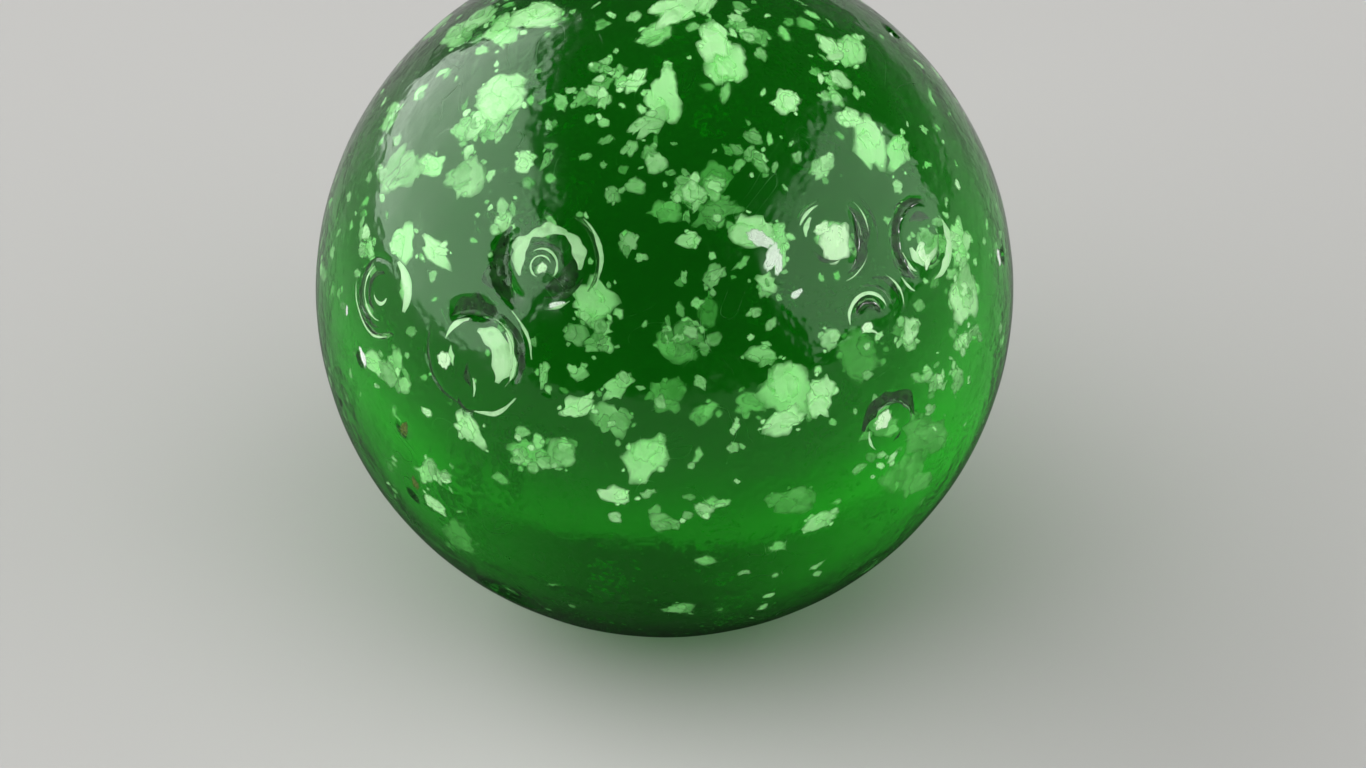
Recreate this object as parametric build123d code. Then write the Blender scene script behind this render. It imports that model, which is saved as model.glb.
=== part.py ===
from build123d import *
import math
import os
import random

os.makedirs("parts", exist_ok=True)

# A ball of clear green glass with flakes of mica under its surface.
# Play has left moons in it, which are cone shaped cracks under a struck ring, and a few shallow chips.
# The origin is the centre of the ball. The front is -Y and up is +Z.

# The ball, in millimetres
marble_dia = 25.4
glass_index = 1.52

# The face is the side that an eye sees from the front and a little above.
# Places on the face are given to the right and up, in parts of the ball's radius, as they show there.
face_tilt = 35.0
eye_distance = 205.0
widest_place = 0.985

# Moons: place on the face, radius of the struck ring, radius of the crack's foot, depth of the foot
moons = [
    (-0.34, 0.08, 0.45, 1.75, 0.55),
    (-0.55, -0.19, 0.95, 2.15, 0.65),
    (-0.82, -0.01, 0.50, 1.60, 0.50),
    (0.48, 0.15, 0.60, 1.70, 0.50),
    (0.75, 0.14, 0.50, 1.65, 0.50),
    (0.59, -0.08, 0.25, 0.80, 0.28),
    (0.65, -0.40, 0.45, 1.30, 0.40),
]
crack_gap = 0.06
throat_width = 0.15
throat_share = 0.45

# Chips: place on the face, width, depth
chips = [
    (-0.45, -0.89, 2.60, 0.28),
    (0.65, 0.74, 0.90, 0.16),
    (0.97, 0.10, 0.70, 0.12),
    (-0.75, -0.40, 0.90, 0.14),
    (-0.87, -0.20, 0.80, 0.12),
    (-0.72, -0.59, 0.80, 0.12),
]

# Mica flakes: place on the face, length and width as they show, turn from level in degrees
shallow_flakes = [
    (-0.37, 0.78, 1.6, 1.0, 25),
    (-0.47, 0.73, 1.0, 0.9, 20),
    (-0.53, 0.78, 1.1, 0.5, 50),
    (-0.60, 0.73, 1.1, 0.5, 40),
    (-0.47, 0.57, 2.0, 1.3, 45),
    (-0.45, 0.47, 1.2, 0.4, 45),
    (-0.75, 0.34, 1.8, 1.1, 50),
    (-0.67, 0.35, 0.9, 0.9, 60),
    (-0.57, 0.32, 1.4, 1.3, 60),
    (-0.40, 0.36, 0.8, 0.7, 20),
    (-0.34, 0.37, 0.7, 0.3, 80),
    (-0.74, 0.13, 1.3, 0.8, 60),
    (-0.66, 0.11, 1.5, 0.7, -50),
    (-0.08, 0.60, 1.1, 0.5, 40),
    (0.00, 0.55, 2.4, 1.2, 75),
    (-0.04, 0.47, 1.5, 0.7, 25),
    (-0.15, 0.27, 0.7, 0.4, 65),
    (-0.10, 0.13, 1.0, 0.5, 80),
    (-0.21, -0.03, 1.6, 1.3, 50),
    (-0.26, -0.13, 1.0, 0.7, -70),
    (0.05, 0.81, 2.5, 0.7, 12),
    (0.14, 0.71, 1.4, 1.0, -50),
    (0.18, 0.64, 1.5, 1.2, 20),
    (0.47, 0.69, 1.2, 0.7, -60),
    (0.54, 0.68, 1.2, 0.9, 0),
    (0.34, 0.54, 0.9, 0.8, 0),
    (0.53, 0.49, 0.9, 0.5, -30),
    (0.59, 0.42, 1.8, 0.9, -65),
    (0.67, 0.40, 1.4, 0.7, 80),
    (0.45, 0.35, 0.9, 0.6, 50),
    (0.06, 0.14, 0.7, 0.6, 20),
    (0.25, 0.16, 1.7, 1.3, -25),
    (0.33, 0.09, 1.2, 0.6, 60),
    (0.14, 0.04, 1.2, 0.6, 60),
    (0.86, -0.03, 1.9, 0.9, 85),
    (0.48, -0.14, 0.8, 0.7, 0),
    (0.34, -0.38, 1.4, 0.9, 40),
    (0.45, -0.31, 1.6, 0.7, 75),
    (-0.25, -0.34, 1.3, 0.8, 20),
    (-0.14, -0.59, 1.5, 0.7, -15),
    (-0.55, -0.41, 1.3, 0.9, -75),
    (-0.66, -0.62, 1.1, 0.3, -50),
]
middle_flakes = [
    (-0.57, 0.46, 1.0, 0.7, 50),
    (-0.78, 0.50, 1.3, 0.3, 62),
    (-0.23, 0.55, 0.9, 0.5, 60),
    (-0.03, 0.73, 1.2, 0.7, 10),
    (0.26, 0.72, 1.0, 0.9, -45),
    (0.14, 0.22, 1.8, 0.9, 10),
    (0.32, 0.16, 0.9, 0.7, 0),
    (0.48, 0.15, 1.2, 1.2, 0),
    (0.75, 0.12, 1.2, 0.9, -60),
    (0.84, 0.13, 1.7, 0.7, -75),
    (0.28, -0.19, 1.2, 0.7, 20),
    (0.69, -0.12, 1.0, 0.5, 30),
    (0.35, -0.29, 1.9, 1.5, 60),
    (0.84, -0.26, 0.9, 0.5, -70),
    (0.44, -0.67, 1.2, 0.7, 10),
    (-0.06, -0.49, 1.5, 1.2, 30),
    (-0.01, -0.67, 1.0, 0.7, -30),
    (-0.15, -0.37, 1.5, 1.3, -60),
    (-0.13, -0.28, 1.1, 0.8, 0),
    (-0.30, -0.47, 1.1, 0.9, 0),
    (-0.25, -0.24, 0.7, 0.6, 0),
    (-0.35, -0.25, 0.8, 0.3, -70),
    (-0.68, -0.53, 0.8, 0.7, 60),
    (0.04, -0.92, 1.1, 0.3, 0),
    (-0.82, -0.22, 1.1, 0.7, -45),
]
deep_flakes = [
    (0.15, 0.32, 1.3, 1.0, 20),
    (0.00, 0.22, 1.2, 0.8, 10),
    (0.12, -0.07, 0.9, 0.7, 60),
    (0.03, -0.16, 1.4, 1.1, 0),
    (0.00, -0.31, 1.2, 1.1, 0),
    (0.11, -0.36, 0.9, 0.7, 0),
    (0.56, -0.18, 1.5, 1.2, 0),
    (0.25, -0.33, 1.1, 0.9, 0),
    (0.63, -0.39, 1.1, 0.9, 0),
    (0.75, -0.41, 1.8, 1.2, 20),
    (0.71, -0.52, 2.0, 0.9, 35),
    (0.36, -0.61, 1.6, 1.1, 0),
    (-0.39, -0.48, 1.1, 0.9, 0),
    (-0.59, -0.71, 1.4, 0.5, -45),
]
flake_thickness = 0.12
flake_spacing = 0.10
shallow_depth = 0.45
middle_depth = 1.10
deep_depth = 2.20
largest_tilt = 8.0
small_flake = 1.2
small_flake_corners = 4
large_flake_corners = 5
corner_inset = 0.28
corner_shift = 0.25

# The far side carries the same kind of flakes, scattered
far_flake_count = 30
far_flake_length = (0.7, 2.3, 1.2)
far_flake_slimness = (0.45, 0.85)
far_side_edge = 84.0
scatter_seed = 19

marble_radius = marble_dia / 2
tilt = math.radians(face_tilt)
face_right = Vector(1, 0, 0)
face_up = Vector(0, math.sin(tilt), math.cos(tilt))
face_out = Vector(0, -math.cos(tilt), math.sin(tilt))
scatter = random.Random(scatter_seed)


def meet_ball(start, along, radius):
    """The first point where a line meets a ball of this radius about the origin."""
    nearest = -start.dot(along)
    miss = (start + along * nearest).length
    half_chord = math.sqrt(max(radius**2 - miss**2, 0))
    return start + along * (nearest - half_chord)


def seen_point(right, up, depth=0.0):
    """The point at this depth in the glass that shows at this place on the face."""
    from_middle = math.hypot(right, up)
    pull_in = min(1.0, widest_place / from_middle) if from_middle else 1.0
    on_face = (face_right * right + face_up * up) * pull_in * marble_radius
    eye = face_out * eye_distance
    sight = (on_face - eye).normalized()
    entry = meet_ball(eye, sight, marble_radius)
    if depth == 0:
        return entry
    outward = entry.normalized()
    across = (sight - outward * sight.dot(outward)) * (1 / glass_index)
    bent = across - outward * math.sqrt(1 - across.length**2)
    return meet_ball(entry, bent, marble_radius - depth)


def make_moon(place, struck_radius, foot_radius, foot_depth):
    """A thin cone shaped crack, steep under the struck ring and then flaring out to its foot."""
    middle = seen_point(*place)
    throat_radius = struck_radius + throat_width
    throat_depth = foot_depth * throat_share
    surface_fall = marble_radius - math.sqrt(marble_radius**2 - foot_radius**2)
    section = Polyline(
        (struck_radius, crack_gap),
        (struck_radius + crack_gap, crack_gap),
        (throat_radius + crack_gap / 2, -throat_depth),
        (foot_radius, -foot_depth - surface_fall),
        (throat_radius - crack_gap / 2, -throat_depth - crack_gap / 2),
        close=True,
    )
    cutter = revolve(Plane.XZ * make_face(section), Axis.Z)
    return Plane(origin=middle, z_dir=middle.normalized()) * cutter


def make_chip(place, width, depth):
    """A shallow shell shaped scoop, cut by part of a ball."""
    middle = seen_point(*place)
    outward = middle.normalized()
    half = width / 2
    bulge = marble_radius - math.sqrt(marble_radius**2 - half**2)
    below_rim = depth - bulge
    scoop_radius = (half**2 + below_rim**2) / (2 * below_rim)
    scoop_middle = outward * (marble_radius - depth + scoop_radius)
    return Plane(origin=scoop_middle, z_dir=outward) * Sphere(scoop_radius)


def any_direction():
    return Vector(*[scatter.gauss(0, 1) for _ in range(3)]).normalized()


def ragged_outline(length, width, turn):
    """The corners of a torn flake, drawn flat about its middle."""
    corners = []
    count = small_flake_corners if length < small_flake else large_flake_corners
    for step in range(count):
        angle = 2 * math.pi * (step + scatter.uniform(-corner_shift, corner_shift)) / count
        reach = 1 - scatter.uniform(0, corner_inset)
        corner = Vector(length / 2 * math.cos(angle), width / 2 * math.sin(angle), 0) * reach
        corners.append(corner.rotate(Axis.Z, turn))
    return corners


class Flakes:
    """Lays flakes in the glass, each clear of the flakes, moons and chips laid before it."""

    def __init__(self):
        self.taken = []
        self.solids = []

    def take(self, middle, reach, top, bottom):
        self.taken.append((middle.normalized(), reach, top, bottom))

    def keep_clear_of_mark(self, right, up, reach, depth):
        self.take(seen_point(right, up), reach, -depth, depth + flake_spacing)

    def is_free(self, outward, reach, top, bottom):
        for other, other_reach, other_top, other_bottom in self.taken:
            apart = (outward - other).length * marble_radius
            if apart < reach + other_reach and top < other_bottom and bottom > other_top:
                return False
        return True

    def lay(self, find_corners, depth):
        """Lay a flake at this depth, or a little deeper where something is in the way."""
        lean = any_direction() * math.sin(math.radians(largest_tilt))
        while True:
            middle, corners = find_corners(depth)
            outward = middle.normalized()
            normal = (outward + lean).normalized()
            flat = [corner - normal * (corner - middle).dot(normal) for corner in corners]
            reach = max((corner - middle).length for corner in flat)
            furthest = max(corner.length for corner in flat) + flake_thickness / 2
            nearest = marble_radius - min(corner.length for corner in flat) + flake_thickness / 2
            top = min(marble_radius - furthest, depth - flake_thickness / 2) - flake_spacing / 2
            bottom = max(nearest, depth + reach**2 / marble_dia) + flake_spacing / 2
            if top > flake_spacing and self.is_free(outward, reach, top, bottom):
                break
            depth += flake_spacing
        self.take(middle, reach, top, bottom)
        plane = Plane(origin=middle, x_dir=flat[0] - middle, z_dir=normal)
        outline = [plane.to_local_coords(corner) for corner in flat]
        face = make_face(Polyline(*[(point.X, point.Y) for point in outline], close=True))
        self.solids.append(plane * extrude(face, amount=flake_thickness / 2, both=True))

    def lay_on_face(self, right, up, length, width, turn, depth):
        drawn = ragged_outline(length, width, turn)

        def find_corners(at_depth):
            middle = seen_point(right, up, at_depth)
            corners = []
            for point in drawn:
                shown = (right + point.X / marble_radius, up + point.Y / marble_radius)
                corners.append(seen_point(*shown, at_depth))
            return middle, corners

        self.lay(find_corners, depth)

    def lay_on_far_side(self):
        outward = face_out
        while outward.get_angle(face_out) < far_side_edge:
            outward = any_direction()
        length = scatter.triangular(*far_flake_length)
        width = length * scatter.uniform(*far_flake_slimness)
        drawn = ragged_outline(length, width, scatter.uniform(0, 180))
        plane = Plane(origin=(0, 0, 0), z_dir=outward)

        def find_corners(at_depth):
            middle = outward * (marble_radius - at_depth)
            return middle, [middle + plane.from_local_coords(point) for point in drawn]

        self.lay(find_corners, scatter.choice((shallow_depth, middle_depth)))


def make_flakes():
    flakes = Flakes()
    for right, up, _, foot_radius, foot_depth in moons:
        flakes.keep_clear_of_mark(right, up, foot_radius, foot_depth)
    for right, up, width, depth in chips:
        flakes.keep_clear_of_mark(right, up, width / 2, depth)
    layers = ((shallow_flakes, shallow_depth), (middle_flakes, middle_depth), (deep_flakes, deep_depth))
    for rows, depth in layers:
        for row in rows:
            flakes.lay_on_face(*row, depth)
    for _ in range(far_flake_count):
        flakes.lay_on_far_side()
    return flakes.solids


def make_body(flakes):
    marks = [make_moon((right, up), *sizes) for right, up, *sizes in moons]
    marks += [make_chip((right, up), *sizes) for right, up, *sizes in chips]
    seam_at_back = Rot(0, 0, 90)
    ball = seam_at_back * Sphere(marble_radius) - marks
    return ball - flakes


mica_flakes = make_flakes()
marble_body = make_body(mica_flakes)
export_step(marble_body, "parts/marble_body.step")
export_step(Compound(children=mica_flakes), "parts/mica_flakes.step")
print(len(mica_flakes), "flakes")
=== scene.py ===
import math
import random

import bmesh
import bpy
from mathutils import Matrix, Vector, noise


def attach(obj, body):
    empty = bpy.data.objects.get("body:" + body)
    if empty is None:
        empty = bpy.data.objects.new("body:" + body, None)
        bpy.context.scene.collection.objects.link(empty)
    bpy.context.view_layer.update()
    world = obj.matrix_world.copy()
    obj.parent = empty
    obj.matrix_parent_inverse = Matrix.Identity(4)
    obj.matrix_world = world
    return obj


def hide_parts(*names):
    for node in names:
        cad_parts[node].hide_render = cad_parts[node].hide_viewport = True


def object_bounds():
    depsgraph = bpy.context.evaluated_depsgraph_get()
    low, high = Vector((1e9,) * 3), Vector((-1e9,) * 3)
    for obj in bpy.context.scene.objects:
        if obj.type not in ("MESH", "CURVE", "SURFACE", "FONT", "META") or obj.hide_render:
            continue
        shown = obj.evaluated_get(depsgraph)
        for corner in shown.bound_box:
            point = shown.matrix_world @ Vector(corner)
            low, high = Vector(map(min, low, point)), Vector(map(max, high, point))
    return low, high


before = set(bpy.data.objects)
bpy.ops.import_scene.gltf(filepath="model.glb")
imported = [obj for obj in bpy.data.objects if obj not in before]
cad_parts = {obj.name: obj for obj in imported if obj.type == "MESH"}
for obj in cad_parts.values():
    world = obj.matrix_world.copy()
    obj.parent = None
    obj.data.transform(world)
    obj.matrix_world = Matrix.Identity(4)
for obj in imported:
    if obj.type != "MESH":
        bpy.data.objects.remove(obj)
cad_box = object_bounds()

# A ball of clear green glass with flakes of mica under its worn surface.
# Rows of sizes are in millimetres, angles in degrees, and everything that is built is in metres.
mm = 0.001
ball_radius = max(cad_box[1])
glass_index = 1.52

# The eye looks at the face from the front and above.
# Places on the face are to the right and up, in parts of the ball's radius, as they show there,
# and lie within face_edge.
face_tilt = math.radians(35.0)
eye_distance = 205 * mm
face_edge = 0.985
face_right = Vector((1, 0, 0))
face_up = Vector((0, math.sin(face_tilt), math.cos(face_tilt)))
face_out = Vector((0, -math.cos(face_tilt), math.sin(face_tilt)))
eye = face_out * eye_distance

# Moons: where a blow has cracked the glass in a cone. Each is made of arcs about its middle.
# groove: radius, width, depth, first and last angle, shift right and up
# crack: radius and depth at its top, radius and depth at its foot, first and last angle
# glint and shade: radius, width, depth, first and last angle, shift right and up; glints are a
# painted reflection and shades a painted shade
moons = {
    "inner_left": {
        "place": (-0.34, 0.08), "foot": 1.75, "depth": 0.55,
        "grooves": [
            (1.88, 1.20, 0.22, 134, 236, 0.0, 0.0),
        ],
        "cracks": [
            (1.70, 0.06, 1.90, 0.20, -35, 60),
        ],
        "glints": [
            (1.12, 0.60, 0.14, 118, 205, 0.0, 0.0),
            (1.14, 0.44, 0.16, 50, 135, 0.0, 0.0),
            (1.16, 0.46, 0.14, -14, 62, 0.0, 0.0),
            (0.60, 0.08, 0.10, -10, 120, -0.22, -0.18),
            (0.38, 0.06, 0.10, 20, 250, -0.22, -0.18),
            (0.48, 0.08, 0.10, -50, 20, -0.10, -0.18),
            (1.95, 0.12, 0.10, -30, 50, 0.0, 0.0),
            (1.62, 0.18, 0.06, 272, 302, 0.0, 0.0),
        ],
        "shades": [
            (1.88, 1.05, 0.18, 138, 230, 0.0, 0.0),
            (0.90, 0.62, 0.18, -95, 4, 0.0, 0.0),
            (0.80, 0.12, 0.10, 0, 120, -0.2, -0.15),
            (1.35, 0.20, 0.10, 262, 330, 0.1, 0.1),
        ],
    },
    "big_left": {
        "place": (-0.55, -0.19), "foot": 2.15, "depth": 0.65,
        "grooves": [
            (1.66, 0.95, 0.20, 52, 126, 0.0, 0.0),
            (2.02, 0.24, 0.04, 150, 240, 0.0, 0.0),
            (1.80, 0.40, 0.08, -35, 50, 0.0, 0.0),
            (0.45, 0.22, 0.06, 165, 290, -0.50, -1.60),
        ],
        "cracks": [
            (1.30, 0.45, 1.72, 0.10, -50, 60),
            (1.95, 0.05, 2.12, 0.25, 150, 250),
        ],
        "glints": [
            (1.06, 0.62, 0.20, -48, 80, -0.02, -0.22),
            (1.30, 0.26, 0.18, 92, 150, -0.1, -0.1),
            (1.07, 0.50, 0.18, 160, 200, 0.0, -0.05),
            (2.10, 0.24, 0.12, 255, 312, 0.0, 0.0),
            (0.90, 0.12, 0.16, -30, 15, -1.10, -1.10),
            (2.14, 0.12, 0.10, -5, 45, 0.1, 0.0),
            (1.52, 0.10, 0.10, -20, 30, 0.0, 0.0),
        ],
        "shades": [
            (1.66, 0.86, 0.10, 54, 124, 0.0, 0.0),
            (2.04, 0.15, 0.08, 150, 245, 0.0, 0.0),
            (1.80, 0.34, 0.10, -35, 50, 0.0, 0.0),
            (0.45, 0.16, 0.08, 165, 292, -0.50, -1.60),
            (0.90, 0.34, 0.20, 150, 212, 0.45, -0.72),
        ],
    },
    "far_left": {
        "place": (-0.82, -0.01), "foot": 1.60, "depth": 0.50,
        "grooves": [
            (1.25, 0.35, 0.05, 60, 240, 0.0, 0.0),
        ],
        "cracks": [
            (1.40, 0.06, 1.60, 0.35, 140, 290),
            (0.70, 0.06, 0.85, 0.30, 90, 250),
        ],
        "glints": [
            (1.60, 0.10, 0.10, 160, 280, 0.0, 0.0),
            (1.00, 0.10, 0.10, 110, 260, 0.0, 0.0),
            (1.40, 0.36, 0.20, -30, 50, 0.0, 0.0),
            (0.40, 0.12, 0.12, 180, 330, 0.0, 0.0),
        ],
        "shades": [
            (1.25, 0.22, 0.10, 100, 260, 0.0, 0.0),
            (0.70, 0.20, 0.10, 70, 240, 0.0, 0.0),
        ],
    },
    "inner_right": {
        "place": (0.48, 0.15), "foot": 1.70, "depth": 0.50,
        "grooves": [
            (1.40, 0.80, 0.11, -55, 52, 0.0, 0.0),
        ],
        "cracks": [
            (1.15, 0.08, 1.60, 0.40, -60, 60),
            (1.30, 0.06, 1.42, 0.22, 105, 150),
        ],
        "glints": [
            (1.20, 0.16, 0.10, 110, 160, 0.0, 0.0),
            (0.92, 0.28, 0.12, 140, 185, 0.0, 0.1),
            (1.62, 0.09, 0.10, 5, 50, 0.0, 0.0),
            (1.60, 0.09, 0.10, -70, -20, 0.0, 0.0),
        ],
        "shades": [
            (1.36, 0.62, 0.10, -55, 52, 0.0, 0.0),
            (1.90, 0.14, 0.08, -10, 50, 0.0, 0.0),
            (0.85, 0.14, 0.10, 215, 290, 0.0, 0.0),
        ],
    },
    "outer_right": {
        "place": (0.75, 0.14), "foot": 1.65, "depth": 0.50,
        "grooves": [
            (1.45, 0.46, 0.08, 80, 245, 0.0, 0.0),
        ],
        "cracks": [
            (1.25, 0.06, 1.58, 0.42, 90, 250),
            (0.70, 0.08, 1.00, 0.35, -80, 30),
        ],
        "glints": [
            (1.20, 0.16, 0.10, 200, 245, 0.0, 0.0),
            (0.70, 0.34, 0.16, 200, 350, 0.0, 0.0),
            (1.40, 0.45, 0.16, -70, 40, 0.0, 0.0),
            (0.30, 0.26, 0.12, 90, 270, 0.0, -0.4),
            (1.80, 0.14, 0.08, 225, 250, 0.0, 0.0),
        ],
        "shades": [
            (1.45, 0.34, 0.08, 78, 245, 0.0, 0.0),
            (0.90, 0.40, 0.12, 60, 130, 0.0, 0.0),
        ],
    },
    "small_right": {
        "place": (0.59, -0.08), "foot": 0.80, "depth": 0.28,
        "grooves": [
            (0.52, 0.44, 0.10, 15, 170, 0.0, 0.0),
            (1.10, 0.20, 0.04, 20, 130, 0.3, 0.3),
        ],
        "cracks": [
            (0.50, 0.06, 0.72, 0.22, 10, 170),
            (1.05, 0.05, 1.18, 0.20, 0, 110),
        ],
        "glints": [
            (0.82, 0.12, 0.07, 25, 200, 0.0, 0.0),
            (0.62, 0.10, 0.06, 45, 120, 0.05, -1.10),
            (1.24, 0.10, 0.07, 0, 70, 0.3, 0.3),
        ],
        "shades": [
            (0.52, 0.40, 0.06, 12, 172, 0.0, 0.0),
            (1.06, 0.18, 0.07, 5, 100, 0.3, 0.3),
        ],
    },
    "low_right": {
        "place": (0.65, -0.40), "foot": 1.30, "depth": 0.40,
        "grooves": [
            (1.20, 0.46, 0.09, 20, 185, 0.0, 0.0),
        ],
        "cracks": [
            (0.95, 0.06, 1.22, 0.34, 20, 165),
        ],
        "glints": [
            (0.90, 0.10, 0.12, 190, 250, 0.0, 0.0),
        ],
        "shades": [
            (1.20, 0.40, 0.08, 18, 188, 0.0, 0.0),
            (0.50, 0.14, 0.10, -60, 0, 0.1, -0.1),
        ],
    },
}
crack_gap = 0.015

# The ball magnifies what lies straight behind it, so the flakes there are drawn at this share of
# their solids' size. The change comes in over this range of how far they face away from the eye.
far_share = 0.40
far_range = (0.75, 0.92)

# Fresh white breaks at chips, partly with painted glints: right, up, half length, half width, turn
# and depth
white_breaks_and_glints = [
    (-0.873, -0.195, 0.44, 0.18, 100, 0.14),
    (0.654, 0.738, 0.34, 0.20, 20, 0.20),
    (0.962, 0.097, 0.30, 0.20, 90, 0.16),
    (-0.305, -0.042, 0.30, 0.10, 12, 0.10),
    (0.316, 0.100, 0.55, 0.26, 60, 0.16),
    (0.268, 0.150, 0.46, 0.30, 150, 0.18),
    (0.330, 0.060, 0.36, 0.14, 75, 0.14),
    (-0.915, -0.060, 0.20, 0.08, 80, 0.12),
    (0.385, -0.010, 0.22, 0.12, 40, 0.12),
]

# Bright flakes in the middles of moons: right, up, half length, half width, turn and depth
bright_cores = [
    (0.500, 0.142, 0.72, 0.60, 70, 0.20),
    (0.455, 0.175, 0.30, 0.22, 20, 0.16),
    (0.590, -0.108, 0.26, 0.20, 0, 0.12),
    (0.625, -0.385, 0.44, 0.34, 60, 0.18),
    (-0.358, 0.062, 0.20, 0.17, 30, 0.10),
    (-0.640, -0.195, 0.34, 0.26, 80, 0.20),
    (0.745, 0.110, 0.30, 0.20, 110, 0.16),
    (0.762, 0.080, 0.24, 0.14, 60, 0.14),
]

# Olive brown patches in two nicks: right, up, half length, half width, turn and depth
olive_patch_rows = [
    (-0.750, -0.400, 0.34, 0.20, 40, 0.14),
    (-0.720, -0.560, 0.30, 0.16, 60, 0.14),
]

# The palest flakes lie within a reach of these places: right and up
palest = [
    (-0.19, -0.03), (-0.28, -0.33), (-0.47, 0.76), (-0.42, 0.72), (-0.64, 0.31), (-0.47, 0.37),
    (-0.70, 0.11), (-0.53, 0.56), (-0.03, 0.57), (0.16, 0.66), (0.33, 0.54), (0.52, 0.70),
    (0.58, 0.43), (0.66, 0.40), (0.27, 0.15), (0.48, 0.15), (0.36, -0.32), (0.44, -0.28),
    (-0.15, -0.60), (-0.07, -0.48), (0.05, 0.16), (0.85, 0.12), (0.60, -0.10), (-0.83, -0.22),
]
palest_depth = 0.6
palest_reach = 1.1

# Where crumbs of mica lie close together: right, up, reach and how many
crumb_fields = [
    (0.07, 0.28, 1.6, 34), (-0.47, 0.21, 0.7, 18), (0.83, 0.14, 0.9, 20),
    (0.87, 0.00, 0.9, 20), (0.88, -0.15, 0.9, 18), (0.80, -0.28, 1.0, 16),
    (-0.18, 0.63, 1.4, 20), (0.27, 0.40, 1.3, 16), (0.07, -0.12, 1.3, 20),
    (0.20, -0.44, 1.0, 4), (0.66, -0.50, 1.5, 6), (0.12, -0.66, 1.5, 14),
    (-0.66, -0.55, 0.8, 18), (-0.81, -0.24, 0.8, 16), (-0.88, 0.12, 1.0, 18),
    (-0.55, 0.48, 1.2, 20), (-0.10, 0.42, 1.4, 10), (0.30, 0.00, 1.0, 12),
    (-0.20, -0.12, 1.0, 14), (-0.40, -0.50, 1.2, 14), (0.50, 0.62, 1.6, 18),
    (0.20, 0.80, 1.8, 18), (-0.50, 0.78, 1.6, 14), (0.72, -0.12, 0.8, 12),
]

# Chips: right, up, width, depth
chips = [
    (-0.45, -0.89, 2.60, 0.28),
    (0.65, 0.74, 0.90, 0.16),
    (0.97, 0.10, 0.70, 0.12),
    (-0.75, -0.40, 0.90, 0.08),
    (-0.87, -0.20, 0.80, 0.06),
    (-0.72, -0.59, 0.80, 0.08),
    (-0.94, -0.33, 0.40, 0.06),
]

# The skin is divided more finely about each mark, out to this far beyond it.
# A chip's ragged rim stays within this share of its width.
moon_margin = 0.3
chip_margin = 0.2
chip_reach = 0.6

# The worn skin falls by up to twice this, over patches of this size
skin_wear = 0.012
skin_wear_size = 1.6

# What is scattered draws its sizes, depths and tones from a least, a most and a commonest.
# A tone of 0 is dull and 1 is pale.
chance = random.Random(7)
flake_tones = (0.10, 0.85, 0.40)
flake_crumb_sizes = (0.05, 0.24, 0.08)
speck_count = 700
speck_depths = (0.25, 3.0, 0.5)
speck_sizes = (0.08, 0.40, 0.13)
field_crumb_depths = (0.20, 1.6, 0.4)
field_crumb_sizes = (0.08, 0.46, 0.15)
crumb_tones = (0.10, 0.95, 0.45)
flake_thickness = 0.03
crumb_thickness = 0.02

# The strips of a moon's cracks
strip_slope = 0.35
strip_thickness = 0.012
strip_cover = 0.05

# Pale finishes: dull colour, bright colour and how much of the light the thinnest patches stop
pale_finishes = {
    "mica": ((0.16, 0.48, 0.14), (0.66, 1.0, 0.60), 0.85),
    "painted_crack_glint": ((0.40, 0.85, 0.36), (0.74, 1.0, 0.68), 0.76),
    "bright_core": ((0.50, 0.90, 0.44), (0.80, 1.0, 0.74), 0.95),
    "white_break_and_glint": ((0.85, 0.95, 0.85), (1.0, 1.0, 1.0), 0.85),
    "olive_patch": ((0.04, 0.09, 0.004), (0.12, 0.19, 0.01), 0.30),
}

# The studio's tone
studio_white = (1.0, 0.99, 0.97)

# Soft panels of light: directions round from the front and above the floor in degrees,
# width, height and distance in metres, energy in watts, and whether the glass mirrors it
light_panels = {
    "left_panel": (-98, 26, 1.70, 0.76, 0.75, 12.0, True),
    "right_panel": (80, 27, 1.00, 0.60, 0.75, 3.1, True),
    "top_panel": (0, 68, 0.90, 0.80, 0.75, 5.0, False),
}


class Value:
    """A number that varies over a surface. An expression on it adds its Math nodes."""

    def __init__(self, finish, socket):
        self.finish = finish
        self.socket = socket

    def math(self, operation, *others):
        inputs = dict(enumerate((self, *others)))
        return self.finish.value("ShaderNodeMath", {"operation": operation}, inputs)

    def __add__(self, other):
        return self.math("ADD", other)

    __radd__ = __add__

    def __mul__(self, other):
        return self.math("MULTIPLY", other)

    __rmul__ = __mul__

    def __sub__(self, other):
        return self.math("SUBTRACT", other)

    def __rsub__(self, other):
        return self * -1 + other

    def above(self, low, high):
        """0 below low, 1 above high, and smooth between them."""
        settings = {"interpolation_type": "SMOOTHSTEP"}
        sockets = {"Value": self, "From Min": low, "From Max": high}
        return self.finish.value("ShaderNodeMapRange", settings, sockets)

    def below(self, low, high):
        return 1 - self.above(low, high)


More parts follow.
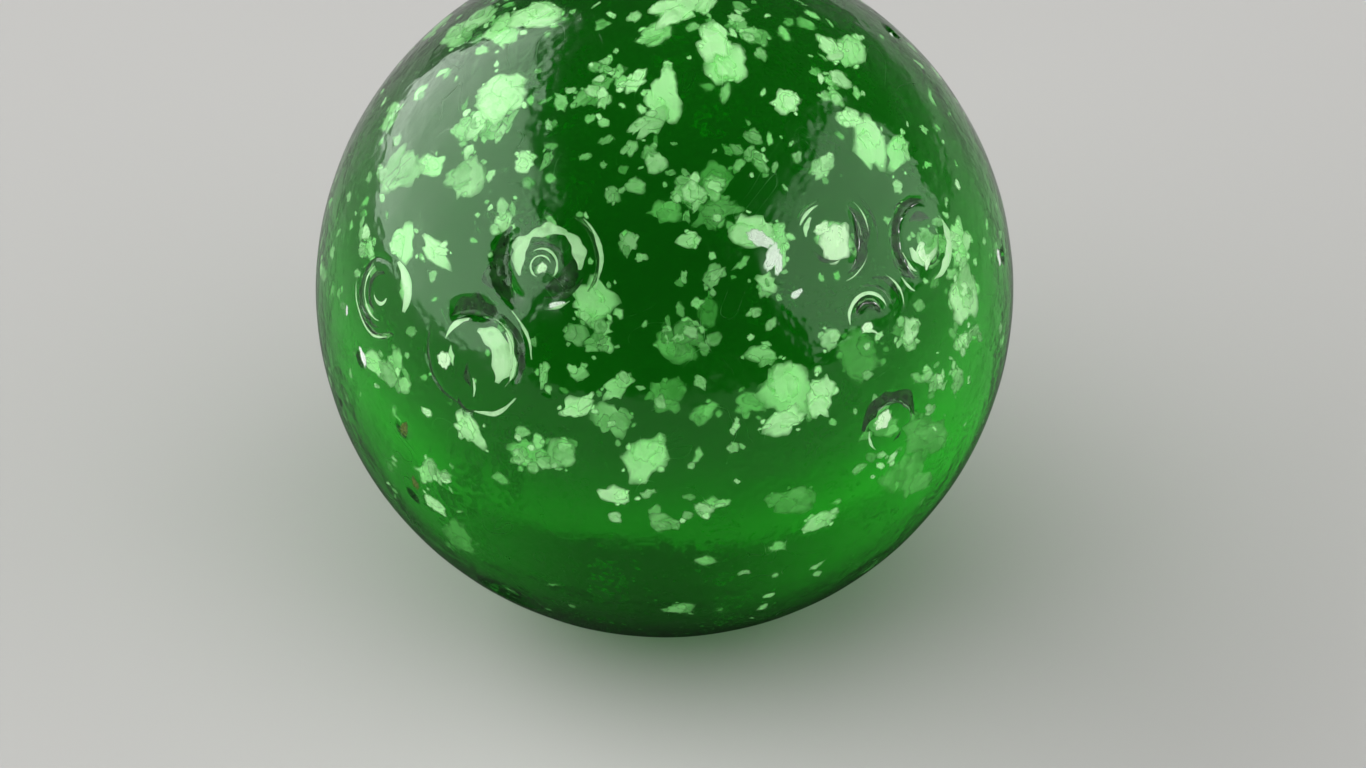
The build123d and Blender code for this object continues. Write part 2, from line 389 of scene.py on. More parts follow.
class Finish:
    """A node tree of one material or of the world, and the short ways to add to it."""

    def __init__(self, owner):
        owner.use_nodes = True
        self.owner = owner
        self.tree = owner.node_tree
        self.tree.nodes.clear()

    def node(self, kind, settings={}, inputs={}):
        made = self.tree.nodes.new(kind)
        for name, setting in settings.items():
            setattr(made, name, setting)
        for name, given in inputs.items():
            if isinstance(given, Value):
                self.tree.links.new(given.socket, made.inputs[name])
            else:
                made.inputs[name].default_value = given
        return made

    def value(self, kind, settings={}, inputs={}, output=0):
        return Value(self, self.node(kind, settings, inputs).outputs[output])

    def place(self, turn=(0, 0, 0), scale=(1, 1, 1)):
        object_place = self.value("ShaderNodeTexCoord", output="Object")
        angles = [math.radians(angle) for angle in turn]
        inputs = {"Vector": object_place, "Rotation": angles, "Scale": scale}
        return self.value("ShaderNodeMapping", {}, inputs)

    def noise(self, size, detail, distortion=0.0, where=None):
        inputs = {
            "Vector": where or self.place(),
            "Scale": 1 / (size * mm),
            "Detail": detail,
            "Roughness": 0.55,
            "Distortion": distortion,
        }
        return self.value("ShaderNodeTexNoise", {}, inputs)

    def cells(self, size, output="Distance"):
        inputs = {"Vector": self.place(), "Scale": 1 / (size * mm)}
        return self.value("ShaderNodeTexVoronoi", {"feature": "F1"}, inputs, output)

    def blend(self, amount, low, high):
        inputs = {0: amount, 6: low, 7: high}
        return self.value("ShaderNodeMix", {"data_type": "RGBA"}, inputs, 2)

    def near(self, middle, reach):
        """1 at a point, falling to 0 at this reach from it."""
        inputs = {0: self.place(), 1: middle}
        away = self.value("ShaderNodeVectorMath", {"operation": "DISTANCE"}, inputs, "Value")
        return away.below(0, reach * mm)

    def bump(self, height, strength, distance, normal=None):
        inputs = {"Height": height, "Strength": strength, "Distance": distance * mm}
        if normal:
            inputs["Normal"] = normal
        return self.value("ShaderNodeBump", {}, inputs)

    def surface(self, shader, volume=None):
        inputs = {"Surface": shader}
        if volume:
            inputs["Volume"] = volume
        self.node("ShaderNodeOutputMaterial", {}, inputs)


def rgb(red, green, blue):
    return (red, green, blue, 1.0)


def meet_ball(start, along, radius):
    """The first point where a line meets a ball of this radius about the origin."""
    nearest = -start.dot(along)
    miss = (start + along * nearest).length
    half_chord = math.sqrt(max(radius**2 - miss**2, 0))
    return start + along * (nearest - half_chord)


def seen_point(right, up, depth=0.0):
    """The point at this depth in the glass that shows at this place on the face."""
    on_face = (face_right * right + face_up * up) * ball_radius
    if on_face.length > face_edge * ball_radius:
        on_face *= face_edge * ball_radius / on_face.length
    sight = (on_face - eye).normalized()
    entry = meet_ball(eye, sight, ball_radius)
    if depth == 0:
        return entry
    outward = entry.normalized()
    across = (sight - outward * sight.dot(outward)) / glass_index
    bent = across - outward * math.sqrt(1 - across.length**2)
    return meet_ball(entry, bent, ball_radius - depth)


def seat(middle, turn=0.0):
    """The frame at a point of the ball: right and up as they show on the face, and outward."""
    outward = middle.normalized()
    up = (face_up - outward * face_up.dot(outward)).normalized()
    right = up.cross(outward)
    axes = Matrix((right, up, outward)).transposed().to_4x4()
    return Matrix.Translation(middle) @ axes @ Matrix.Rotation(turn, 4, "Z")


def wave(point, size, seed):
    """A smooth random number from -1 to 1 that changes over this size in millimetres."""
    return noise.noise(point / (size * mm) + seed)


def smooth_step(value, low, high):
    share = min(max((value - low) / (high - low), 0), 1)
    return share * share * (3 - 2 * share)


def along_arc(angle, first, last, fade=14.0):
    """1 within an arc, fading to 0 at its ends. Angles are in degrees."""
    middle = (first + last) / 2
    off = abs((angle - middle + 180) % 360 - 180)
    return 1 - smooth_step(off, (last - first) / 2 - fade, (last - first) / 2 + fade / 2)


def groove_depth(x, y, groove):
    """How deep one groove is at a point of a moon's own flat frame, in millimetres.

    It slopes down towards the moon's middle and ends at a steep inner wall.
    """
    radius, width, depth, first, last, right, up = groove
    ragged = 0.12 * noise.noise(Vector((x, y, radius)) * 1.8)
    across = (math.hypot(x - right, y - up) + ragged - radius) / (width / 2)
    if abs(across) >= 1:
        return 0.0
    deepest = -0.5
    if across > deepest:
        share = (across - deepest) / (1 - deepest)
    else:
        share = (deepest - across) / (deepest + 1)
    angle = math.degrees(math.atan2(y - up, x - right))
    return depth * (1 - share) * along_arc(angle, first, last)


def chip_depth(away, angle, width, depth):
    """A shell shaped scoop with ripples about its deepest point, in millimetres."""
    ripple_height, ripple_turns = 0.07, 16
    ragged = 1 + 0.18 * noise.noise(Vector((math.cos(angle), math.sin(angle), width)) * 1.7)
    share = away / (width / 2 * ragged)
    if share >= 1:
        return 0.0
    ripple = ripple_height * math.sin(share * ripple_turns) * share
    return depth * (1 - share * share + ripple * (1 - share))


def refine(shape, marks):
    """Divide the faces about each mark more finely."""
    near = set()
    for middle, reach in marks:
        for face in shape.faces:
            if (face.calc_center_median() - middle).length < reach:
                near.add(face)
    edges = list({edge for face in near for edge in face.edges})
    bmesh.ops.subdivide_edges(shape, edges=edges, cuts=2, use_grid_fill=True)
    for vertex in shape.verts:
        vertex.co = vertex.co.normalized() * ball_radius


def make_ball():
    """The ball's skin, worn a little uneven, with the grooves of its moons and its chips."""
    ball = bmesh.new()
    bmesh.ops.create_icosphere(ball, subdivisions=7, radius=ball_radius)
    flat_frames = []
    for moon in moons.values():
        middle = seen_point(*moon["place"])
        reach = (moon["foot"] + moon_margin) * mm
        flat_frames.append((middle, seat(middle).inverted(), reach, moon["grooves"]))
    scoops = [(seen_point(right, up), width, depth) for right, up, width, depth in chips]
    marks = [(middle, reach) for middle, _, reach, _ in flat_frames]
    marks += [(middle, (width / 2 + chip_margin) * mm) for middle, width, _ in scoops]
    refine(ball, marks)
    for vertex in ball.verts:
        fall = 0.0
        for middle, inward, reach, grooves in flat_frames:
            if (vertex.co - middle).length < reach:
                flat = inward @ vertex.co / mm
                fall += sum(groove_depth(flat.x, flat.y, groove) for groove in grooves)
        for middle, width, depth in scoops:
            away = (vertex.co - middle).length / mm
            if away < width * chip_reach:
                flat = seat(middle).inverted() @ vertex.co
                fall += chip_depth(away, math.atan2(flat.y, flat.x), width, depth)
        fall += skin_wear * (1 + wave(vertex.co, skin_wear_size, Vector()))
        vertex.co *= 1 - fall * mm / ball_radius
    bmesh.ops.recalc_face_normals(ball, faces=ball.faces[:])
    return ball


def sweep_arc(inner, outer, bulge, first, last):
    """A sheet swept along an arc from a line between two points.

    Each point is a radius and a height in millimetres. The sheet narrows to its ends.
    """
    sheet = bmesh.new()
    cuts, degrees_in_step, least_steps = 4, 5, 8
    tip_share, tip_inset, tip_fade = 0.10, 8, 30
    line = []
    for cut in range(cuts + 1):
        share = cut / cuts
        radius = inner[0] + (outer[0] - inner[0]) * share
        height = inner[1] + (outer[1] - inner[1]) * share + bulge * math.sin(math.pi * share)
        line.append(sheet.verts.new(Vector((radius, 0, height)) * mm))
    edges = [sheet.edges.new(pair) for pair in zip(line, line[1:])]
    sheet.transform(Matrix.Rotation(math.radians(first), 4, "Z"))
    bmesh.ops.spin(
        sheet,
        geom=line + edges,
        cent=(0, 0, 0),
        axis=(0, 0, 1),
        angle=math.radians(last - first),
        steps=max(least_steps, int((last - first) / degrees_in_step)),
        use_merge=False,
    )
    seed = Vector((inner[0], outer[0], first))
    middle_radius = (inner[0] + outer[0]) / 2
    for vertex in sheet.verts:
        away = math.hypot(vertex.co.x, vertex.co.y) / mm
        angle = math.degrees(math.atan2(vertex.co.y, vertex.co.x))
        within = along_arc(angle, first + tip_inset, last - tip_inset, tip_fade)
        narrow = tip_share + (1 - tip_share) * within
        uneven = 1 + 0.6 * wave(vertex.co, 0.4, seed)
        shaken = middle_radius + (away - middle_radius) * narrow * uneven
        shaken += 0.05 * middle_radius * wave(vertex.co, 1.1, -seed)
        vertex.co.x *= shaken / away
        vertex.co.y *= shaken / away
        vertex.co.z += 0.03 * mm * wave(vertex.co, 0.25, -seed)
    bmesh.ops.recalc_face_normals(sheet, faces=sheet.faces[:])
    return sheet


def make_crack(place, top_radius, top, foot_radius, foot, first, last):
    """One thin curved gap in the glass.

    Its faces look into the gap, because they bound the glass round it.
    """
    bulge = 0.03
    top_end = (top_radius, -top - surface_fall(top_radius))
    foot_end = (foot_radius, -foot - surface_fall(foot_radius))
    crack = sweep_arc(top_end, foot_end, bulge, first, last)
    bmesh.ops.solidify(crack, geom=crack.faces[:], thickness=crack_gap * mm)
    bmesh.ops.recalc_face_normals(crack, faces=crack.faces[:])
    bmesh.ops.reverse_faces(crack, faces=crack.faces[:])
    crack.transform(seat(seen_point(*place)))
    return crack


def surface_fall(radius):
    """How far the ball's skin falls away at this distance from a point of it, in millimetres."""
    return ball_radius / mm - math.sqrt((ball_radius / mm) ** 2 - radius**2)


def add_to(whole, part):
    """Move one shape into another."""
    spare = bpy.data.meshes.new("spare")
    part.to_mesh(spare)
    part.free()
    whole.from_mesh(spare)
    bpy.data.meshes.remove(spare)


def make_piece(name, shape, finish, node=None, smooth=False):
    """Turn a finished shape into a piece that is fixed to the ball's one body."""
    mesh = bpy.data.meshes.new(name)
    shape.to_mesh(mesh)
    shape.free()
    if smooth:
        mesh.shade_smooth()
    mesh.materials.append(finish)
    piece = bpy.data.objects.new(name, mesh)
    bpy.context.collection.objects.link(piece)
    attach(piece, "root")
    if node:
        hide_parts(node)


def islands_of(shape):
    """The separate solids of a shape, as lists of faces."""
    left = set(shape.faces)
    while left:
        start = left.pop()
        island, edge_of_it = [start], [start]
        while edge_of_it:
            face = edge_of_it.pop()
            for other in {other for edge in face.edges for other in edge.link_faces}:
                if other in left:
                    left.remove(other)
                    island.append(other)
                    edge_of_it.append(other)
        yield island


def read_flakes():
    """Each flake of the fixed frame: where it lies and how, its half length and half width."""
    merge_gap = 0.001
    digits = 7
    plates = bmesh.new()
    plates.from_mesh(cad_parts["mica_flakes"].data)
    bmesh.ops.remove_doubles(plates, verts=plates.verts[:], dist=merge_gap * mm)
    found = []
    for island in islands_of(plates):
        corners = sorted({corner.co.to_tuple(digits) for face in island for corner in face.verts})
        corners = [Vector(corner) for corner in corners]
        middle = sum(corners, Vector()) / len(corners)
        normal = max(island, key=lambda face: face.calc_area()).normal.copy()
        if normal.dot(middle) < 0:
            normal.negate()
        reach = max(corners, key=lambda corner: (corner - middle).length) - middle
        along = (reach - normal * reach.dot(normal)).normalized()
        across = normal.cross(along)
        half_length = max(abs((corner - middle).dot(along)) for corner in corners)
        half_width = max(abs((corner - middle).dot(across)) for corner in corners)
        turned = Matrix((along, across, normal)).transposed().to_4x4()
        found.append((Matrix.Translation(middle) @ turned, half_length, half_width))
    plates.free()
    return sorted(found, key=lambda flake: tuple(flake[0].translation))


def new_plates():
    """An empty shape whose points hold how thin and how pale the mica is there."""
    plates = bmesh.new()
    plates.verts.layers.float.new("thinning")
    plates.verts.layers.float.new("paleness")
    return plates


def make_plate(half_length, half_width, cuts, crumple, thickness, pale=1.0):
    """One torn, crumpled plate about its own middle, which thins towards its edge."""
    torn_from, thin_from = 0.3, 0.74
    plate = new_plates()
    thinning = plate.verts.layers.float["thinning"]
    paleness = plate.verts.layers.float["paleness"]
    bmesh.ops.create_grid(plate, x_segments=cuts, y_segments=cuts, size=1)
    seed = Vector([chance.uniform(-50, 50) for _ in range(3)])
    for vertex in plate.verts:
        x, y = vertex.co.x, vertex.co.y
        rounded = Vector((x * math.sqrt(1 - y * y / 2), y * math.sqrt(1 - x * x / 2), 0))
        edge = smooth_step(rounded.length, torn_from, 1.0)
        vertex[thinning] = smooth_step(rounded.length, thin_from, 1.0)
        vertex[paleness] = pale
        tear = 0.55 * noise.noise(rounded * 1.3 + seed) + 0.30 * noise.noise(rounded * 4 + seed)
        spot = rounded * (1 + edge * tear)
        rise = noise.noise(rounded * 1.8 - seed) + 0.5 * noise.noise(rounded * 4.5 - seed)
        vertex.co = Vector((spot.x * half_length, spot.y * half_width, rise * crumple))
    thicken(plate, thickness)
    return plate


def thicken(sheet, thickness):
    """Give a sheet that lies about its own middle a straight thickness."""
    made = bmesh.ops.extrude_face_region(sheet, geom=sheet.faces[:])
    lifted = [part for part in made["geom"] if isinstance(part, bmesh.types.BMVert)]
    bmesh.ops.translate(sheet, verts=lifted, vec=(0, 0, thickness))
    bmesh.ops.recalc_face_normals(sheet, faces=sheet.faces[:])


def make_flakes():
    """Each flake as layered torn plates with crumbs about them, and mica dust all through."""
    mica = new_plates()
    palest_points = [seen_point(right, up, palest_depth * mm) for right, up in palest]
    for place, half_length, half_width in read_flakes():
        nearest = min((point - place.translation).length for point in palest_points) / mm
        if nearest < palest_reach:
            pale = 0.95 - 0.15 * nearest
        else:
            pale = chance.triangular(*flake_tones)
        straight_behind = smooth_step(-place.translation.normalized().dot(face_out), *far_range)
        shown_share = 1 - (1 - far_share) * straight_behind
        half_length, half_width = half_length * shown_share, half_width * shown_share
        lay_flake(mica, place, half_length, half_width, pale)
        lay_flake_crumbs(mica, place, half_length, half_width, pale)
    for _ in range(speck_count):
        add_to(mica, make_speck())
    for right, up, reach, count in crumb_fields:
        for _ in range(count):
            add_to(mica, make_field_crumb(right, up, reach))
    return mica


def lay_flake(mica, place, half_length, half_width, pale):
    """One flake: a base plate and smaller ones that lie over it. Larger flakes have more."""
    base_share, upper_shares = 1.18, (0.50, 0.85)
    size_of_layer, most_slide, most_rise = 0.35, 0.70, 0.10
    size = (half_length + half_width) / 2
    crumple = min(0.18 * size, 0.09 * mm)
    for layer in range(2 + int(size / (size_of_layer * mm))):
        share = base_share if layer == 0 else chance.uniform(*upper_shares)
        tone = pale + chance.uniform(-0.12, 0.12)
        length, width = half_length * share, half_width * share
        plate = make_plate(length, width, 5, crumple, flake_thickness * mm, tone)
        along, across = chance.uniform(-1, 1), chance.uniform(-1, 1)
        slide = Vector((along * half_length, across * half_width, 0)) * most_slide
        slide.z = chance.uniform(0, most_rise) * mm
        lay_plate(mica, plate, place, slide * (layer > 0))


def lay_flake_crumbs(mica, place, half_length, half_width, pale):
    """A few crumbs that have broken off a flake's edge."""
    for _ in range(chance.randint(2, 6)):
        angle = chance.uniform(0, 2 * math.pi)
        reach = chance.uniform(0.95, 1.55)
        slide = Vector((math.cos(angle) * half_length, math.sin(angle) * half_width, 0)) * reach
        slide.z = chance.uniform(-0.1, 0.15) * mm
        size = chance.triangular(*flake_crumb_sizes) * mm
        width = size * chance.uniform(0.5, 1)
        plate = make_plate(size, width, 3, size * 0.4, crumb_thickness * mm, pale)
        lay_plate(mica, plate, place, slide)


def lay_plate(mica, plate, place, slide):
    """Lay a plate on its flake's place, a little turned and leaning."""
    lean_angle = math.radians(chance.gauss(0, 12))
    lean_axis = Vector((chance.gauss(0, 1), 1, 0)).normalized()
    lean = Matrix.Rotation(lean_angle, 4, lean_axis)
    turn = Matrix.Rotation(chance.uniform(-0.6, 0.6), 4, "Z")
    plate.transform(place @ Matrix.Translation(slide) @ turn @ lean)
    keep_under_skin(plate)
    add_to(mica, plate)


def keep_under_skin(plate, cover=0.12 * mm):
    """Press any corner that stands out of the glass back under its skin."""
    for vertex in plate.verts:
        if vertex.co.length > ball_radius - cover:
            vertex.co *= (ball_radius - cover) / vertex.co.length


def is_in_moon(point):
    """Whether a point lies where a moon's cracks are."""
    clear_aside, clear_below = 0.2, 0.35
    depth = (ball_radius - point.length) / mm
    for moon in moons.values():
        away = (point.normalized() * ball_radius - seen_point(*moon["place"])).length / mm
        if away < moon["foot"] + clear_aside and depth < moon["depth"] + clear_below:
            return True
    return False


def make_speck():
    """One speck of mica dust, more of it high on the ball than low."""
    low_share, low_range = 0.25, (-0.75, -0.2)
    while True:
        outward = Vector([chance.gauss(0, 1) for _ in range(3)]).normalized()
        up = outward.dot(face_up)
        if chance.random() > low_share + (1 - low_share) * smooth_step(up, *low_range):
            continue
        depth = chance.triangular(*speck_depths) * mm
        middle = outward * (ball_radius - depth)
        if not is_in_moon(middle):
            break
    return make_crumb(middle, chance.triangular(*speck_sizes))


def make_field_crumb(right, up, reach):
    """One of the crumbs that lie close together about a place of the face."""
    place = seat(seen_point(right, up))
    while True:
        angle = chance.uniform(0, 2 * math.pi)
        away = reach * abs(chance.gauss(0, 0.5))
        depth = chance.triangular(*field_crumb_depths)
        flat = Vector((math.cos(angle) * away, math.sin(angle) * away, 0)) * mm
        middle = (place @ flat).normalized() * (ball_radius - depth * mm)
        if not is_in_moon(middle):
            return make_crumb(middle, chance.triangular(*field_crumb_sizes))


def make_crumb(middle, size):
    """One small plate of mica at a point in the glass, of this half length in millimetres."""
    size *= mm
    pale = chance.triangular(*crumb_tones)
    width = size * chance.uniform(0.5, 1.0)
    crumb = make_plate(size, width, 4, size * 0.4, crumb_thickness * mm, pale)
    lean = Matrix.Rotation(math.radians(chance.gauss(0, 25)), 4, "X")
    crumb.transform(seat(middle, chance.uniform(0, math.pi)) @ lean)
    keep_under_skin(crumb)
    return crumb


def make_strips(kind):
    """The moons' painted glints and painted shade, as thin bent strips in the glass: pale strips
    for the light that the cracks mirror, dark ones for the dark inside that they mirror.
    """
    strips = bmesh.new()
    for moon in moons.values():
        flat = seat(seen_point(*moon["place"]))
        for radius, width, depth, first, last, right, up in moon[kind]:
            slope = strip_slope * width
            inner = (radius - width / 2, slope / 2)
            outer = (radius + width / 2, -slope / 2)
            strip = sweep_arc(inner, outer, 0.0, first, last)
            thicken(strip, strip_thickness * mm)
            for vertex in strip.verts:
                away = math.hypot(vertex.co.x, vertex.co.y) / mm
                vertex.co.z -= surface_fall(away) * mm
            aside = (flat @ (Vector((right, up, 0)) * mm)).normalized()
            strip.transform(seat(aside * (ball_radius - (depth + slope / 2) * mm)))
            keep_under_skin(strip, strip_cover * mm)
            add_to(strips, strip)
    return strips


def make_patches(rows):
    """Small patches of torn plates just under the skin."""
    patch_crumple, patch_thickness = 0.05, 0.015
    patches = new_plates()
    for right, up, half_length, half_width, turn, depth in rows:
        place = seat(seen_point(right, up), math.radians(turn))
        for layer in range(3):
            share = 1.0 if layer == 0 else chance.uniform(0.4, 0.7)
            length, width = half_length * share * mm, half_width * share * mm
            flake = make_plate(length, width, 7, patch_crumple * mm, patch_thickness * mm)
            along, across = chance.uniform(-0.4, 0.4), chance.uniform(-0.3, 0.3)
            slide = Vector((along * half_length, across * half_width, -depth))
            flake.transform(place @ Matrix.Translation(slide * mm))
            keep_under_skin(flake, depth * 0.7 * mm)
            add_to(patches, flake)
    return patches


def green_glass():
    """Clear green glass with a worn skin: fine scratches, pits and patches of haze.

    Its colour is painted darker about the middle of the face, a painted shade, and its worn skin
    mirrors a little green.
    """
    painted_shade_reach, painted_shade_middle = 11.0, rgb(0.40, 0.52, 0.40)
    least_roughness = 0.08
    mirrored_tint = rgb(0.68, 1.0, 0.70)
    inner_green, inner_density = rgb(0.05, 0.77, 0.02), 235.0
    finish = Finish(bpy.data.materials.new("green_glass"))
    wear = finish.noise(3.5, detail=4.0).above(0.42, 0.68)
    fine_wear = finish.noise(0.5, detail=3.0).above(0.45, 0.7)
    drawn_out = finish.place((20, 40, 0), (1, 0.3, 1))
    scratch_line = finish.noise(2.2, detail=1.0, distortion=1.2, where=drawn_out)
    scratches = (scratch_line - 0.5).math("ABSOLUTE").below(0.001, 0.004) * wear
    pits = finish.cells(0.6).below(0.04, 0.13) * finish.noise(1.7, detail=1.0).above(0.5, 0.6)
    roughness = wear * 0.09 + fine_wear * 0.04 + scratches * 0.2 + least_roughness
    height = finish.noise(0.9, detail=3.0) * 0.12 - scratches - pits
    uneven = finish.bump(finish.noise(1.9, detail=3.0), 1.0, 0.10)
    normal = finish.bump(height, 0.3, 0.012, uneven)
    # Painted shade: the glass is coloured darker within a reach of the middle of the face.
    painted_shade = finish.near(face_out * ball_radius, painted_shade_reach)
    colour = finish.blend(painted_shade, rgb(1.0, 1.0, 1.0), painted_shade_middle)
    inputs = {
        "Base Color": colour,
        "Roughness": roughness,
        "Transmission Weight": 1.0,
        "IOR": glass_index,
        "Specular Tint": mirrored_tint,
        "Normal": normal,
    }
    shader = finish.value("ShaderNodeBsdfPrincipled", {}, inputs)
    tint = {"Color": inner_green, "Density": inner_density}
    finish.surface(shader, finish.value("ShaderNodeVolumeAbsorption", {}, tint))
    return finish.owner


def pale_mica(name, flaky=True):
    """Pale flaky mineral, broken in tone, thin at its edges and a little glossy.

    It has a painted glow, a little light of its own that stands in for the light that scatters
    within it, and it lets a share of the light through. Only flakes hold how pale they are.
    """
    dull, bright, cover = pale_finishes[name]
    even_paleness, painted_glow_strength, glow_share = 0.7, 0.14, 0.20
    finish = Finish(bpy.data.materials.new(name))
    thinning = finish.value("ShaderNodeAttribute", {"attribute_name": "thinning"}, output="Fac")
    paleness = even_paleness
    if flaky:
        paleness = finish.value("ShaderNodeAttribute", {"attribute_name": "paleness"}, output="Fac")
    broad = finish.noise(2.2, detail=4.0)
    fine = finish.noise(0.22, detail=3.0)
    plates = finish.cells(0.55, output="Color")
    tone = broad * 0.25 + fine * 0.10 + plates * 0.15 + paleness * 0.55
    thin = finish.noise(0.45, detail=3.0).above(0.28, 0.48)
    feather = 1.15 - thinning * (fine * 0.8 + 0.6)
    colour = finish.blend(tone.above(0.32, 0.72), rgb(*dull), rgb(*bright))
    inputs = {
        "Base Color": colour,
        # Painted glow: the mineral gives out a little light in its own colour.
        "Emission Color": colour,
        "Emission Strength": painted_glow_strength,
        "Roughness": plates * 0.3 + 0.3,
        "IOR": 1.6,
        "Alpha": (thin * (1 - cover) + cover) * feather.above(0.0, 1.0),
        "Normal": finish.bump(fine, 0.3, 0.03),
    }
    lit = finish.value("ShaderNodeBsdfPrincipled", {}, inputs)
    glow = finish.value("ShaderNodeBsdfTranslucent", {}, {"Color": rgb(*bright)})
    mixed = finish.value("ShaderNodeMixShader", {}, {0: glow_share, 1: lit, 2: glow})
    finish.surface(mixed)
    return finish.owner


def painted_shade_crack():
    """Painted shade: dark strips that stand in for the faces of a crack that mirror only the dark
    inside of the ball.
    """
    finish = Finish(bpy.data.materials.new("painted_shade_crack"))
    tone = finish.noise(0.3, detail=3.0).above(0.35, 0.65)
    inputs = {
        "Base Color": finish.blend(tone, rgb(0.002, 0.045, 0.002), rgb(0.010, 0.13, 0.006)),
        "Roughness": tone * 0.2 + 0.5,
        "Alpha": finish.noise(0.35, detail=3.0).above(0.25, 0.5) * 0.35 + 0.6,
    }
    finish.surface(finish.value("ShaderNodeBsdfPrincipled", {}, inputs))
    return finish.owner


def studio_floor():
    """A wide plain pale floor, whose tone is set apart for each kind of ray.

    Far away it gives way to the tone of the studio's horizon. As the ball mirrors it, it is painted
    darker, and close by the ball it is painted out entirely, a painted shadow. As the glass shows
    it through, it is painted paler to the sides.
    """
    foot = Vector((0, 0, cad_box[0].z))
    half_size, mirrored_shadow_reach, far_from = 6.0, 45.0, 600.0
    eye_tone, through_tone, mirrored_tone, other_tone = 0.43, 1.05, 0.29, 0.07
    palest_tone, horizon_tone = 0.9, 0.52
    floor = bmesh.new()
    bmesh.ops.create_grid(floor, x_segments=1, y_segments=1, size=half_size)
    bmesh.ops.translate(floor, verts=floor.verts[:], vec=foot)
    mesh = bpy.data.meshes.new("studio_floor")
    floor.to_mesh(mesh)
    floor.free()
    finish = Finish(bpy.data.materials.new("studio_floor"))
    to_eye = finish.value("ShaderNodeLightPath", output="Is Camera Ray")
    through = finish.value("ShaderNodeLightPath", output="Is Transmission Ray")
    mirrored = finish.value("ShaderNodeLightPath", output="Is Glossy Ray")
    others = (1 - to_eye) * (1 - through) * (1 - mirrored)
    place = {0: finish.place()}
    direction = finish.value("ShaderNodeVectorMath", {"operation": "NORMALIZE"}, place)
    # Painted shadow: the floor as the glass mirrors it is darker, and dark within a reach of the
    # ball's foot.
    away = 1 - finish.near(foot, mirrored_shadow_reach)
    # Painted light: as the glass shows it through, the floor is paler to the sides, most to the
    # left.
    pale = to_eye * eye_tone + through * side_level(finish, direction) * through_tone
    pale = pale + mirrored * away * mirrored_tone + others * other_tone
    far = 1 - finish.near(foot, far_from)
    pale = (pale * (1 - far)).math("MINIMUM", palest_tone)
    glow = far * (1 - others) * horizon_tone
    inputs = {
        "Base Color": finish.blend(pale, rgb(0, 0, 0), rgb(1.0, 0.99, 0.96)),
        "Roughness": 0.9,
        "Emission Color": finish.blend(glow, rgb(0, 0, 0), rgb(*studio_white)),
        "Emission Strength": 1.0,
    }
    finish.surface(finish.value("ShaderNodeBsdfPrincipled", {}, inputs))
    mesh.materials.append(finish.owner)
    floor_object = bpy.data.objects.new("studio_floor", mesh)
    bpy.context.collection.objects.link(floor_object)


def side_level(finish, direction):
    """How pale the studio is in each direction from the ball, for what shows through the glass. On
    the floor it is painted light: paler to the sides, most of all to the left.
    """
    aside = finish.value("ShaderNodeSeparateXYZ", {}, {"Vector": direction}, "X")
    left = aside.below(-0.9, 0.0) * 0.90 + aside.below(-0.9, -0.55) * 0.80
    return left + aside.above(0.1, 0.9) * 0.75 + 0.20


def light_panel(name, around, above, wide, tall, distance, energy, mirrored):
    """A large soft panel of light. It doesn't shine through the glass: the world does that."""
    lamp = bpy.data.lights.new(name, "AREA")
    lamp.shape = "RECTANGLE"
    lamp.size = wide
    lamp.size_y = tall
    lamp.energy = energy
    panel = bpy.data.objects.new(name, lamp)
    panel.visible_glossy = mirrored
    panel.visible_transmission = False
    turn, lift = math.radians(around), math.radians(above)
    flat = Vector((math.sin(turn), -math.cos(turn), 0))
    towards = flat * math.cos(lift) + Vector((0, 0, math.sin(lift)))
    panel.location = towards * distance
    panel.rotation_euler = towards.to_track_quat("Z", "Y").to_euler()
    bpy.context.collection.objects.link(panel)


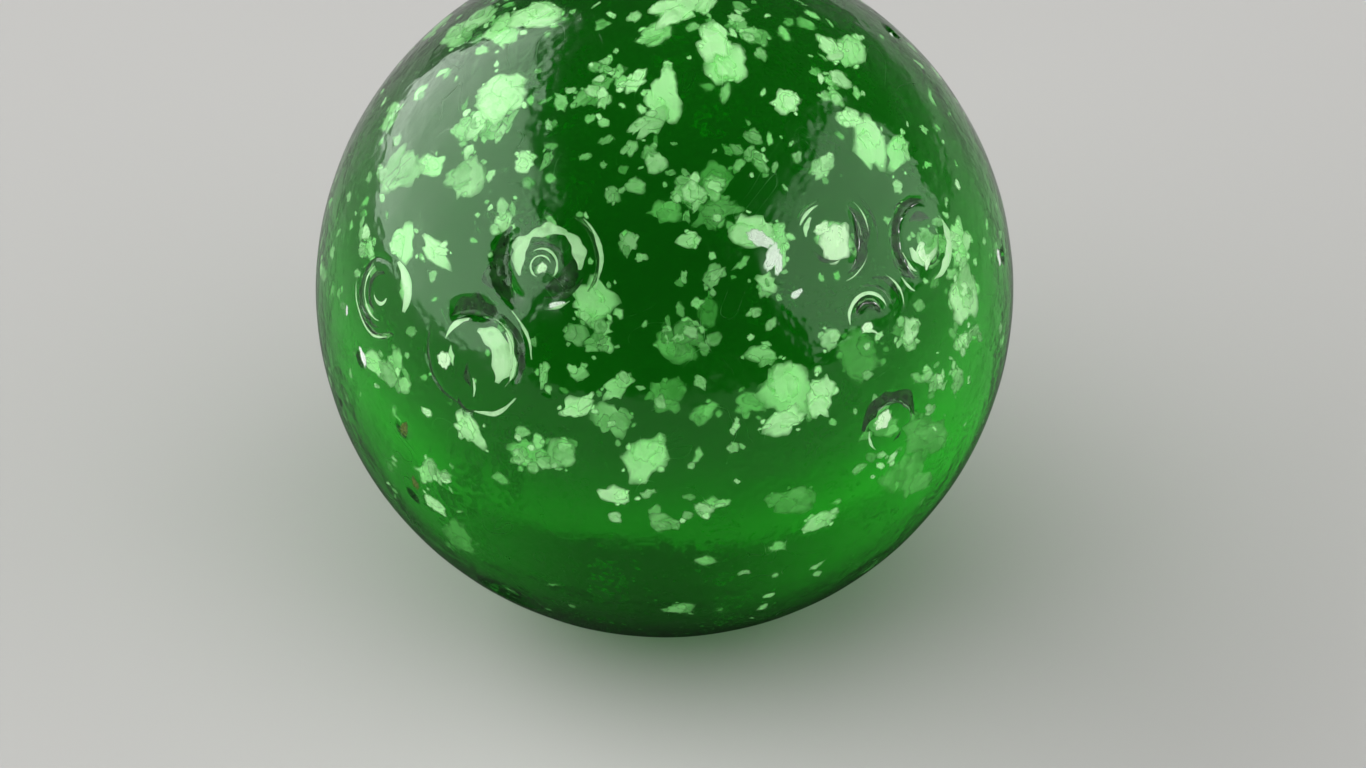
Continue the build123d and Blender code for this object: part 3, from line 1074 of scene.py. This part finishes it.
def studio_world():
    """Dim all round with a pale band at the back, and a tone apart for each kind of ray.

    The eye sees an even pale backdrop. The glass shows a pale side and back through it, and light
    that has met a flake inside the ball comes in from all round, more of it from the front.
    """
    eye_tone, band_tone, left_tone, least_tone = 0.52, 0.15, 0.30, 0.05
    front_shown, least_shown = 0.40, 0.03
    front_fill, even_fill = 1.9, 0.7
    world = bpy.data.worlds.new("studio")
    bpy.context.scene.world = world
    finish = Finish(world)
    direction = finish.value("ShaderNodeTexCoord", output="Generated")
    aside, backwards, height = [
        finish.value("ShaderNodeSeparateXYZ", {}, {"Vector": direction}, axis) for axis in "XYZ"
    ]
    behind = backwards.above(-0.2, 0.6)
    ahead = behind.below(0.0, 0.6)
    band = height.below(0.0, 0.35) * behind
    left_rear = aside.below(-0.9, -0.3) * behind
    seen = finish.value("ShaderNodeLightPath", output="Is Camera Ray")
    through = finish.value("ShaderNodeLightPath", output="Is Transmission Ray")
    inside = finish.value("ShaderNodeLightPath", output="Diffuse Depth").math("MINIMUM", 1.0)
    shown = height.below(0.1, 0.8) * side_level(finish, direction) * behind
    shown = shown + ahead * front_shown + least_shown
    shown = shown * (1 - inside) + inside * (ahead * front_fill + even_fill)
    other = (1 - seen) * (1 - through)
    level = seen * eye_tone + (1 - seen) * through * shown
    level = level + other * (band * band_tone + left_rear * left_tone + least_tone)
    tint = {"Color": rgb(*studio_white), "Strength": level}
    background = finish.value("ShaderNodeBackground", {}, tint)
    finish.node("ShaderNodeOutputWorld", {}, {"Surface": background})


def aim_camera():
    """The eye, turned so that the ball stands in the picture where it does in the photograph."""
    picture_wide, picture_high = 1366, 768
    ball_across, ball_down, ball_outline = 664.6, 289.0, 349.0
    focal_pixels = ball_outline / math.tan(math.asin(ball_radius / eye_distance))
    data = bpy.data.cameras.new("eye")
    data.sensor_width = 36
    data.lens = focal_pixels / picture_wide * data.sensor_width
    data.clip_start, data.clip_end = 0.01, 50
    camera = bpy.data.objects.new("eye", data)
    bpy.context.collection.objects.link(camera)
    aside = math.atan((picture_wide / 2 - ball_across) / focal_pixels)
    below = math.atan((picture_high / 2 - ball_down) / focal_pixels)
    facing = Matrix((face_right, face_up, face_out)).transposed().to_4x4()
    turned = Matrix.Rotation(-aside, 4, "Y") @ Matrix.Rotation(-below, 4, "X")
    camera.matrix_world = Matrix.Translation(eye) @ facing @ turned
    bpy.context.scene.camera = camera


def build():
    """The ball with its cracks first, then what lies in it, and the studio about it."""
    glass = make_ball()
    for moon in moons.values():
        for crack in moon["cracks"]:
            add_to(glass, make_crack(moon["place"], *crack))
    make_piece("marble_glass", glass, green_glass(), "marble_body", smooth=True)
    make_piece("mica_plates", make_flakes(), pale_mica("mica"), "mica_flakes")
    # Painted reflections: pale strips stand in for the light that the moons' cracks mirror.
    painted_glint = pale_mica("painted_crack_glint", flaky=False)
    make_piece("moon_glints", make_strips("glints"), painted_glint, smooth=True)
    make_piece("moon_cores", make_patches(bright_cores), pale_mica("bright_core"))
    # Painted shade: dark strips in the cracks of the moons.
    make_piece("moon_shades", make_strips("shades"), painted_shade_crack(), smooth=True)
    # White breaks with painted highlights: pale patches at chips that also stand in for their
    # glints.
    make_piece("white_breaks_and_glints", make_patches(white_breaks_and_glints), pale_mica("white_break_and_glint"))
    make_piece("olive_patches", make_patches(olive_patch_rows), pale_mica("olive_patch"))
    studio_floor()
    for name, panel in light_panels.items():
        light_panel(name, *panel)
    studio_world()
    aim_camera()
    bpy.context.scene.view_settings.view_transform = "Standard"


build()
bpy.context.view_layer.update()
